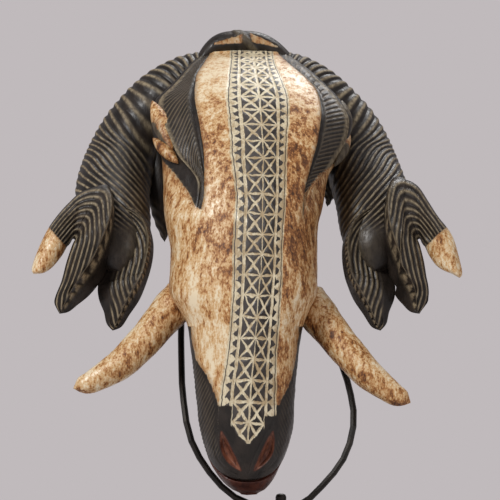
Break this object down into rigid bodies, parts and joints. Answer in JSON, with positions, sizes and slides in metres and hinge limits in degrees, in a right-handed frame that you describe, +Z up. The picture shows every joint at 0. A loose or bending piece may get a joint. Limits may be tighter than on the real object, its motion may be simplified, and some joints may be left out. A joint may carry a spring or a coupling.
{
  "type": "baule ram mask on a stand",
  "caption": "Carved wooden ram's-head mask with ribbed horns, tusks and an incised forehead band, hollow behind, carried by a bent rod on a flat foot.",
  "frame": {"origin": "middle of the foot's underside", "axes": "+Z up, the mask's face towards -Y, +X to the viewer's right"},
  "size_m": [0.3993, 0.2442, 0.5568],
  "materials": {
    "carved_wood": "worn kaolin white and black pigment, waxed satin",
    "rod_steel": "blackened, satin",
    "plate_steel": "black, matt"
  },
  "bodies": {
    "root": {"mask": "carved_wood", "cradle": "rod_steel", "post": "rod_steel", "base_plate": "plate_steel"}
  },
  "joints": []
}
